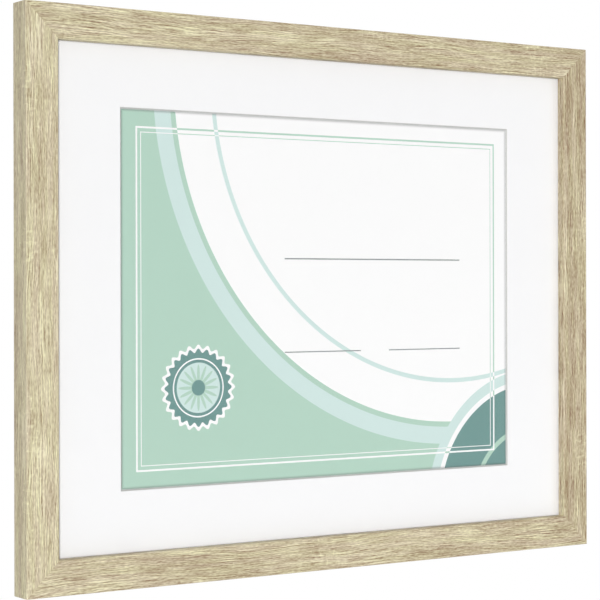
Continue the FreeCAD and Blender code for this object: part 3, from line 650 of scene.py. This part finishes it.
# The insert: a blank certificate form printed on satin card. Its design is a plain one: a mint field behind a
# large white disc with pale and teal arcs, a ruled border, three blank lines to write on and a rosette.
card, tree, surface = new_material("satin card, offset printed")
place = add_node(tree, "ShaderNodeTexCoord").outputs["Object"]
spot = add_node(tree, "ShaderNodeMapping", {
    "Vector": place, "Location": (0, 0, -middle_height / MM), "Scale": (1 / MM,) * 3,
})
spot_at = add_node(tree, "ShaderNodeSeparateXYZ", {0: spot})
across, upright = spot_at.outputs["X"], spot_at.outputs["Z"]
print_colours = {
    "white": "#FCFCFC",
    "mint": "#AED1BF",
    "pale mint": "#CDE4E0",
    "teal": "#5C8C87",
    "grey": "#7C8482",
}

# Each disc of the design: its middle, and its rings from the outermost in, as a radius and an ink
discs = [
    ((92, 118), [(204, "pale mint"), (194, "mint"), (191, "white"), (168, "pale mint"), (165.5, "white")]),
    ((150, -122), [(78, "pale mint"), (72, "white"), (69, "teal"), (44, "mint"), (41, "teal")]),
]
layers = []
for (disc_x, disc_z), disc_rings in discs:
    offset = add_node(tree, "ShaderNodeVectorMath", {0: spot, 1: (disc_x, 0, disc_z)}, operation="SUBTRACT")
    offset_flat = add_node(tree, "ShaderNodeVectorMath", {0: offset, 1: (1, 0, 1)}, operation="MULTIPLY")
    radius = add_node(tree, "ShaderNodeVectorMath", {0: offset_flat}, operation="LENGTH").outputs["Value"]
    layers += [(radius, ring_radius, ink) for ring_radius, ink in disc_rings]

# The rosette: a teal disc with a waved edge, and rings and rays inside it
rosette_x, rosette_z, rosette_radius = -84, -48, 20
lobes, lobe_height = 24, 1.1
rays, ray_length = 16, 4.0
offset = add_node(tree, "ShaderNodeVectorMath", {0: spot, 1: (rosette_x, 0, rosette_z)}, operation="SUBTRACT")
offset_flat = add_node(tree, "ShaderNodeVectorMath", {0: offset, 1: (1, 0, 1)}, operation="MULTIPLY")
radius = add_node(tree, "ShaderNodeVectorMath", {0: offset_flat}, operation="LENGTH").outputs["Value"]
offset_at = add_node(tree, "ShaderNodeSeparateXYZ", {0: offset})
angle = add_node(tree, "ShaderNodeMath", {0: offset_at.outputs["Z"], 1: offset_at}, operation="ARCTAN2")
lobe_turn = add_node(tree, "ShaderNodeMath", {0: angle, 1: lobes}, operation="MULTIPLY")
lobe = add_node(tree, "ShaderNodeMath", {0: lobe_turn}, operation="COSINE")
edge_distance = add_node(
    tree, "ShaderNodeMath", {0: lobe, 1: -lobe_height, 2: radius}, operation="MULTIPLY_ADD",
)
ray_turn = add_node(tree, "ShaderNodeMath", {0: angle, 1: rays}, operation="MULTIPLY")
ray = add_node(tree, "ShaderNodeMath", {0: ray_turn}, operation="COSINE")
ray_distance = add_node(tree, "ShaderNodeMath", {0: ray, 1: -ray_length, 2: radius}, operation="MULTIPLY_ADD")
layers += [
    (edge_distance, rosette_radius + 2.2, "white"),
    (edge_distance, rosette_radius, "teal"),
    (radius, 16, "white"),
    (radius, 15.2, "teal"),
    (radius, 13.6, "pale mint"),
    (ray_distance, 8.5, "mint"),
    (radius, 4.2, "teal"),
]

# The inks go over the mint field in this order, each where its distance is under its limit
design = print_colours["mint"]
for distance, limit, ink in layers:
    inked = add_node(tree, "ShaderNodeMath", {0: distance, 1: limit}, operation="LESS_THAN")
    layer = add_node(
        tree, "ShaderNodeMix", {"Factor": inked, "A": design, "B": print_colours[ink]}, data_type="RGBA",
    )
    design = layer.outputs[2]

# How far a spot lies past two rectangles round the middle, first the border's and then the window's
border_half = (122, 91)
window_half = (window_width / 2 / MM, window_height / 2 / MM)
size_x = add_node(tree, "ShaderNodeMath", {0: across}, operation="ABSOLUTE")
size_z = add_node(tree, "ShaderNodeMath", {0: upright}, operation="ABSOLUTE")
distances = []
for half_x, half_z in (border_half, window_half):
    past_x = add_node(tree, "ShaderNodeMath", {0: size_x, 1: half_x}, operation="SUBTRACT")
    past_z = add_node(tree, "ShaderNodeMath", {0: size_z, 1: half_z}, operation="SUBTRACT")
    distances.append(add_node(tree, "ShaderNodeMath", {0: past_x, 1: past_z}, operation="MAXIMUM"))
past_border, past_window = distances

# The ruled border: a broad and a thin line inside the window, mint on white and white on the inks
broad_half, thin_half, thin_inset = 0.5, 0.22, 2.6
white_limit = 0.9
near_outer = add_node(tree, "ShaderNodeMath", {0: past_border, 1: 0, 2: broad_half}, operation="COMPARE")
near_inner = add_node(
    tree, "ShaderNodeMath", {0: past_border, 1: -thin_inset, 2: thin_half}, operation="COMPARE",
)
border = add_node(tree, "ShaderNodeMath", {0: near_outer, 1: near_inner}, operation="MAXIMUM")
design_parts = add_node(tree, "ShaderNodeSeparateColor", {0: design})
is_white = add_node(tree, "ShaderNodeMath", {0: design_parts, 1: white_limit}, operation="GREATER_THAN")
border_ink = add_node(
    tree, "ShaderNodeMix", {"Factor": is_white, "A": print_colours["white"], "B": print_colours["mint"]},
    data_type="RGBA",
)
bordered = add_node(
    tree, "ShaderNodeMix", {"Factor": border, "A": design, "B": border_ink.outputs[2]}, data_type="RGBA",
)
design = bordered.outputs[2]

# The lines to write on: middle and half length across, height, and half the thickness
for line_x, half_line, line_z, half_rule in ((34, 62, 22, 0.35), (-2, 26, -30, 0.3), (70, 26, -30, 0.3)):
    on_x = add_node(tree, "ShaderNodeMath", {0: across, 1: line_x, 2: half_line}, operation="COMPARE")
    on_z = add_node(tree, "ShaderNodeMath", {0: upright, 1: line_z, 2: half_rule}, operation="COMPARE")
    rule = add_node(tree, "ShaderNodeMath", {0: on_x, 1: on_z}, operation="MULTIPLY")
    ruled = add_node(
        tree, "ShaderNodeMix", {"Factor": rule, "A": design, "B": print_colours["grey"]}, data_type="RGBA",
    )
    design = ruled.outputs[2]

# The edge of the print is darkened with painted shade, standing for the mat's shade, which deepens over its
# last two millimetres
shade_reach, shade_depth, shade_curve = 1.8, 0.6, 2
nearness = add_node(
    tree, "ShaderNodeMapRange", {"Value": past_window, "From Min": -shade_reach, "From Max": 0},
)
nearness_curve = add_node(tree, "ShaderNodeMath", {0: nearness, 1: shade_curve}, operation="POWER")
shade = add_node(tree, "ShaderNodeMath", {0: nearness_curve, 1: shade_depth}, operation="MULTIPLY")
shaded = add_node(tree, "ShaderNodeMix", {"Factor": shade, "A": design, "B": "#141C18"}, data_type="RGBA")

# The card's look: a satin coat with a fine tooth, which dulls every reflection
card_tooth_size = 0.4
card_tooth = add_node(
    tree, "ShaderNodeTexNoise", {"Vector": spot, "Scale": 1 / card_tooth_size, "Detail": 2.0},
)
bump = add_node(tree, "ShaderNodeBump", {"Strength": 0.15, "Distance": 0.01 * MM, "Height": card_tooth})
set_inputs(surface, {
    "Base Color": shaded.outputs[2], "Normal": bump, "Roughness": 0.6, "Specular IOR Level": 0.2,
})
finish_cad_piece("insert_sheet", card)

# The filler: single-wall corrugated card that presses the insert and the mat against the glazing. Brown kraft
# paper with short fibres, and faint bands where the flutes show through.
kraft, tree, surface = new_material("brown kraft card, corrugated")
place = add_node(tree, "ShaderNodeTexCoord").outputs["Object"]
spot = add_node(tree, "ShaderNodeVectorMath", {0: place, "Scale": 1 / MM}, operation="SCALE")
flute_pitch, flute_weight = 7.6, 0.15
strand_length, strand_width = 2.4, 0.5
wave_turn = 20  # what a wave texture turns by over a length of 1, in radians
flutes = add_node(tree, "ShaderNodeTexWave", {
    "Vector": spot, "Scale": 2 * math.pi / (wave_turn * flute_pitch),
}, bands_direction="Z")
strands = add_node(
    tree, "ShaderNodeMapping", {"Vector": spot, "Scale": (1 / strand_length, 1, 1 / strand_width)},
)
kraft_fibres = add_node(tree, "ShaderNodeTexNoise", {"Vector": strands, "Scale": 1.0, "Detail": 3.0})
kraft_sum = add_node(
    tree, "ShaderNodeMath", {0: flutes.outputs["Fac"], 1: flute_weight, 2: kraft_fibres},
    operation="MULTIPLY_ADD",
)
kraft_share = add_node(tree, "ShaderNodeMapRange", {"Value": kraft_sum, "From Min": 0.35, "From Max": 0.8})
kraft_colour = add_node(
    tree, "ShaderNodeMix", {"Factor": kraft_share, "A": "#A8875F", "B": "#C4A379"}, data_type="RGBA",
)
bump = add_node(tree, "ShaderNodeBump", {"Strength": 0.3, "Distance": 0.08 * MM, "Height": kraft_sum})
set_inputs(surface, {"Base Color": kraft_colour.outputs[2], "Normal": bump, "Roughness": 0.85})
finish_cad_piece("filler_board", kraft)

# The backing: a 3 mm hardboard panel, sawn to size with its edges just broken. Its hot-pressed face is smooth
# and brown, with a fine web of darker fibres and a faint cloudiness.
backing_edge = 0.3 * MM
weld_distance = 0.002 * MM
flat_angle = math.radians(0.5)
edge_angle = math.radians(35)


def broken_edges(name, node, edge_width, material):
    """A new piece in the shape of a CAD piece, with its sharp edges rounded over by a small width."""
    shape = bmesh.new()
    shape.from_mesh(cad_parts[node].data)
    bmesh.ops.remove_doubles(shape, verts=shape.verts, dist=weld_distance)
    bmesh.ops.dissolve_limit(shape, angle_limit=flat_angle, verts=shape.verts, edges=shape.edges)
    for face in shape.faces:
        face.smooth = True
    piece = new_object(name, shape, [material])
    bevel = piece.modifiers.new("broken edges", "BEVEL")
    bevel.width = edge_width
    bevel.segments = 2
    bevel.angle_limit = edge_angle
    bevel.use_clamp_overlap = True
    piece.modifiers.new("flat faces", "WEIGHTED_NORMAL")
    keep_result(piece)
    return piece


hardboard, tree, surface = new_material("hardboard, hot-pressed")
place = add_node(tree, "ShaderNodeTexCoord").outputs["Object"]
spot = add_node(tree, "ShaderNodeVectorMath", {0: place, "Scale": 1 / MM}, operation="SCALE")
webs_per_mm, clouds_per_mm, cloud_weight = 0.9, 0.03, 0.35
web = add_node(tree, "ShaderNodeTexNoise", {
    "Vector": spot, "Scale": webs_per_mm, "Detail": 4.0, "Distortion": 1.4,
})
clouds = add_node(tree, "ShaderNodeTexNoise", {"Vector": spot, "Scale": clouds_per_mm, "Detail": 2.0})
board_sum = add_node(tree, "ShaderNodeMath", {0: clouds, 1: cloud_weight, 2: web}, operation="MULTIPLY_ADD")
board_share = add_node(tree, "ShaderNodeMapRange", {"Value": board_sum, "From Min": 0.48, "From Max": 0.88})
board_colour = add_node(
    tree, "ShaderNodeMix", {"Factor": board_share, "A": "#7E6244", "B": "#A08260"}, data_type="RGBA",
)
bump = add_node(tree, "ShaderNodeBump", {"Strength": 0.25, "Distance": 0.04 * MM, "Height": web})
set_inputs(surface, {"Base Color": board_colour.outputs[2], "Normal": bump, "Roughness": 0.6})
backing = broken_edges("backing_panel", "backing_board", backing_edge, hardboard)
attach(backing, "frame")
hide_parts("backing_board")

# The corner nails: V-shaped strips of bright hardened steel, two across each mitre, pressed in from the rear
# and sunk just under the surface. They shine softly with fine rolling lines.
bright_steel, tree, surface = new_material("bright rolled steel")
place = add_node(tree, "ShaderNodeTexCoord").outputs["Object"]
spot = add_node(tree, "ShaderNodeVectorMath", {0: place, "Scale": 1 / MM}, operation="SCALE")
line_width, line_length = 0.3, 6
strands = add_node(tree, "ShaderNodeMapping", {
    "Vector": spot, "Scale": (1 / line_width, 1 / line_length, 1 / line_width),
})
rolling = add_node(tree, "ShaderNodeTexNoise", {"Vector": strands, "Scale": 1.0, "Detail": 2.0})
steel_colour = add_node(
    tree, "ShaderNodeMix", {"Factor": rolling, "A": "#AFAFAD", "B": "#CBCBC8"}, data_type="RGBA",
)
steel_roughness = add_node(tree, "ShaderNodeMapRange", {"Value": rolling, "To Min": 0.24, "To Max": 0.42})
set_inputs(surface, {"Base Color": steel_colour.outputs[2], "Metallic": 1.0, "Roughness": steel_roughness})
finish_cad_piece("corner_v_nails", bright_steel)

# The turn buttons: eight blades stamped from 1 mm steel, with the tip bent up for a finger nail, zinc plated.
# The plating is a soft bluish grey with a few yellower clouds and fine handling marks.
button_edge = 0.12 * MM
plating_clouds_per_mm, plating_grit_per_mm = 0.22, 2.2
zinc, tree, surface = new_material("zinc-plated steel, passivated")
place = add_node(tree, "ShaderNodeTexCoord").outputs["Object"]
spot = add_node(tree, "ShaderNodeVectorMath", {0: place, "Scale": 1 / MM}, operation="SCALE")
zinc_clouds = add_node(
    tree, "ShaderNodeTexNoise", {"Vector": spot, "Scale": plating_clouds_per_mm, "Detail": 2.0},
)
zinc_grit = add_node(
    tree, "ShaderNodeTexNoise", {"Vector": spot, "Scale": plating_grit_per_mm, "Detail": 3.0},
)
zinc_share = add_node(tree, "ShaderNodeMapRange", {"Value": zinc_clouds, "From Min": 0.35, "From Max": 0.65})
zinc_colour = add_node(
    tree, "ShaderNodeMix", {"Factor": zinc_share, "A": "#B9BDC2", "B": "#C8C5B6"}, data_type="RGBA",
)
zinc_roughness = add_node(tree, "ShaderNodeMapRange", {"Value": zinc_grit, "To Min": 0.26, "To Max": 0.5})
bump = add_node(tree, "ShaderNodeBump", {"Strength": 0.2, "Distance": 0.02 * MM, "Height": zinc_grit})
set_inputs(surface, {
    "Base Color": zinc_colour.outputs[2], "Metallic": 1.0, "Roughness": zinc_roughness, "Normal": bump,
})
button_places = [
    "top_left", "top_right", "right_upper", "right_lower", "bottom_right", "bottom_left", "left_lower",
    "left_upper",
]
for button_place in button_places:
    button = broken_edges(f"button_blade_{button_place}", f"turn_button_{button_place}", button_edge, zinc)
    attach(button, f"button_{button_place}")
    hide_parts(f"turn_button_{button_place}")


# The button screws: 2.9 mm pan heads with a cross recess, one through each button into the moulding. Each
# stopped at its own angle when it was driven.
def turned_shape(outline, sides):
    """A closed round shape about Y, from radii and heights of an outline that starts and ends on the axis."""
    shape = bmesh.new()
    rings = []
    for radius, height in outline:
        if radius == 0:
            rings.append([shape.verts.new((0, height, 0))] * sides)
            continue
        turns = [2 * math.pi * step / sides for step in range(sides)]
        ring = [(radius * math.cos(turn), height, radius * math.sin(turn)) for turn in turns]
        rings.append([shape.verts.new(point) for point in ring])
    for lower, upper in zip(rings, rings[1:]):
        for step in range(sides):
            after = (step + 1) % sides
            corners = [lower[step], lower[after], upper[after], upper[step]]
            shape.faces.new(list(dict.fromkeys(corners)))
    bmesh.ops.recalc_face_normals(shape, faces=shape.faces)
    for face in shape.faces:
        face.smooth = True
    return shape


def arc_points(middle, radius, start, stop, steps):
    """Points of an arc, from and to angles in degrees."""
    angles = [math.radians(start + (stop - start) * step / steps) for step in range(steps + 1)]
    return [(middle[0] + radius * math.cos(turn), middle[1] + radius * math.sin(turn)) for turn in angles]


fastener_tree, given = new_shape_tree("fasteners on points", {
    "Fastener": "Object", "Finish": "Material", "Largest Twist": "Float", "Seed": "Int",
})
tree = fastener_tree
fastener = add_node(tree, "GeometryNodeObjectInfo", {"Object": given.outputs["Fastener"]})
twist = add_node(
    tree, "FunctionNodeRandomValue", {"Max": given.outputs["Largest Twist"], "Seed": given.outputs["Seed"]},
    data_type="FLOAT",
)
twist_about = add_node(tree, "ShaderNodeCombineXYZ", {"Y": twist})
driven = add_node(tree, "GeometryNodeInstanceOnPoints", {
    "Points": given.outputs["Geometry"], "Instance": fastener.outputs["Geometry"], "Rotation": twist_about,
})
real = add_node(tree, "GeometryNodeRealizeInstances", {"Geometry": driven})
finished = add_node(tree, "GeometryNodeSetMaterial", {"Geometry": real, "Material": given.outputs["Finish"]})
add_node(tree, "NodeGroupOutput", {"Geometry": finished})


def drive_fasteners(name, points, fastener_piece, finish, largest_twist, seed):
    """One piece that holds a copy of a fastener at each point."""
    mesh = bpy.data.meshes.new(name)
    mesh.from_pydata(points, [], [])
    piece = new_object(name, mesh)
    run_shape_tree(piece, fastener_tree, {
        "Fastener": fastener_piece, "Finish": finish, "Largest Twist": largest_twist, "Seed": seed,
    })
    bpy.data.objects.remove(fastener_piece)
    return piece


head_radius = 2.8 * MM
head_height = 1.6 * MM
head_edge_radius = 1.0 * MM
shank_radius = 1.45 * MM
screw_length = 9.5 * MM
screw_tip = 2.4 * MM
screw_seat = -1.8 * MM
screw_sides, screw_arc_steps, screw_seed = 40, 6, 4
sharp_angle = math.radians(40)
edge_centre = (head_radius - head_edge_radius, head_height - head_edge_radius)
screw_outline = [(0, -screw_length), (shank_radius, screw_tip - screw_length)]
screw_outline += [(shank_radius, 0), (head_radius, 0)]
screw_outline += arc_points(edge_centre, head_edge_radius, 0, 90, screw_arc_steps) + [(0, head_height)]
screw = new_object("pan head screw", turned_shape(screw_outline, screw_sides))

recess_half = 1.5 * MM
recess_bar_half = 0.33 * MM
recess_depth = 0.9 * MM
recess_taper = 0.45
shape = bmesh.new()
cross = [(recess_half, recess_bar_half), (recess_bar_half, recess_bar_half), (recess_bar_half, recess_half)]
cross += [(-x, y) for x, y in reversed(cross)]
cross += [(-x, -y) for x, y in cross]
rings = [
    [shape.verts.new((x * taper, head_height + rise, y * taper)) for x, y in cross]
    for taper, rise in ((recess_taper, -recess_depth), (1, 0), (1, recess_depth))
]
for lower, upper in zip(rings, rings[1:]):
    for index in range(len(cross)):
        after = (index + 1) % len(cross)
        shape.faces.new((lower[index], lower[after], upper[after], upper[index]))
shape.faces.new(rings[0])
shape.faces.new(rings[-1])
bmesh.ops.recalc_face_normals(shape, faces=shape.faces)
recess = new_object("cross recess", shape)
cut = screw.modifiers.new("recess", "BOOLEAN")
cut.object = recess
cut.operation = "DIFFERENCE"
keep_result(screw)
screw.data.set_sharp_from_angle(angle=sharp_angle)
bpy.data.objects.remove(recess)

pivot_x = outer_width / 2 - pivot_corner_inset
pivot_z = outer_height / 2 - pivot_corner_inset
edge_x = outer_width / 2 - pivot_edge_inset
edge_z = outer_height / 2 - pivot_edge_inset
pivots = [(x, z) for x in (-pivot_x, pivot_x) for z in (-edge_z, edge_z)]
pivots += [(x, z) for x in (-edge_x, edge_x) for z in (-pivot_z, pivot_z)]
screw_points = [(x, screw_seat, middle_height + z) for x, z in pivots]
screws = drive_fasteners("button_screws", screw_points, screw, zinc, math.radians(90), screw_seed)
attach(screws, "frame")
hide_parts("turn_button_screws")

# The hangers: two toothed strips of zinc-plated steel, one on the top rail and one on the right rail, so that
# the frame hangs either way. Their middles stand off the wood so that the wall nail fits behind the teeth.
hanger_edge = 0.07 * MM
for way in ("landscape", "portrait"):
    hanger = broken_edges(f"toothed_hanger_{way}", f"sawtooth_hanger_{way}", hanger_edge, zinc)
    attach(hanger, "frame")
    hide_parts(f"sawtooth_hanger_{way}")

# The hanger nails: round steel nails with flat heads, two through the ends of each hanger, bright as they
# were drawn and headed.
nail_head_radius = 1.9 * MM
nail_head_height = 0.7 * MM
nail_head_edge = 0.35 * MM
nail_radius = 0.8 * MM
nail_length = 9.0 * MM
nail_tip = 1.6 * MM
nail_seat = -2.2 * MM
nail_sides, nail_arc_steps, nail_seed = 28, 4, 9
edge_centre = (nail_head_radius - nail_head_edge, nail_head_height - nail_head_edge)
nail_outline = [(0, -nail_length), (nail_radius, nail_tip - nail_length)]
nail_outline += [(nail_radius, 0), (nail_head_radius, 0)]
nail_outline += arc_points(edge_centre, nail_head_edge, 0, 90, nail_arc_steps) + [(0, nail_head_height)]
nail = new_object("hanger nail", turned_shape(nail_outline, nail_sides))
nail.data.set_sharp_from_angle(angle=sharp_angle)
top_height = middle_height + outer_height / 2 - hanger_nail_inset
right_across = outer_width / 2 - hanger_nail_inset
nail_points = [(sign * hanger_nail_half_pitch, nail_seat, top_height) for sign in (-1, 1)]
nail_points += [(right_across, nail_seat, middle_height + sign * hanger_nail_half_pitch) for sign in (-1, 1)]
nails = drive_fasteners("hanger_nail_heads", nail_points, nail, bright_steel, math.radians(360), nail_seed)
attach(nails, "frame")
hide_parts("hanger_nails")
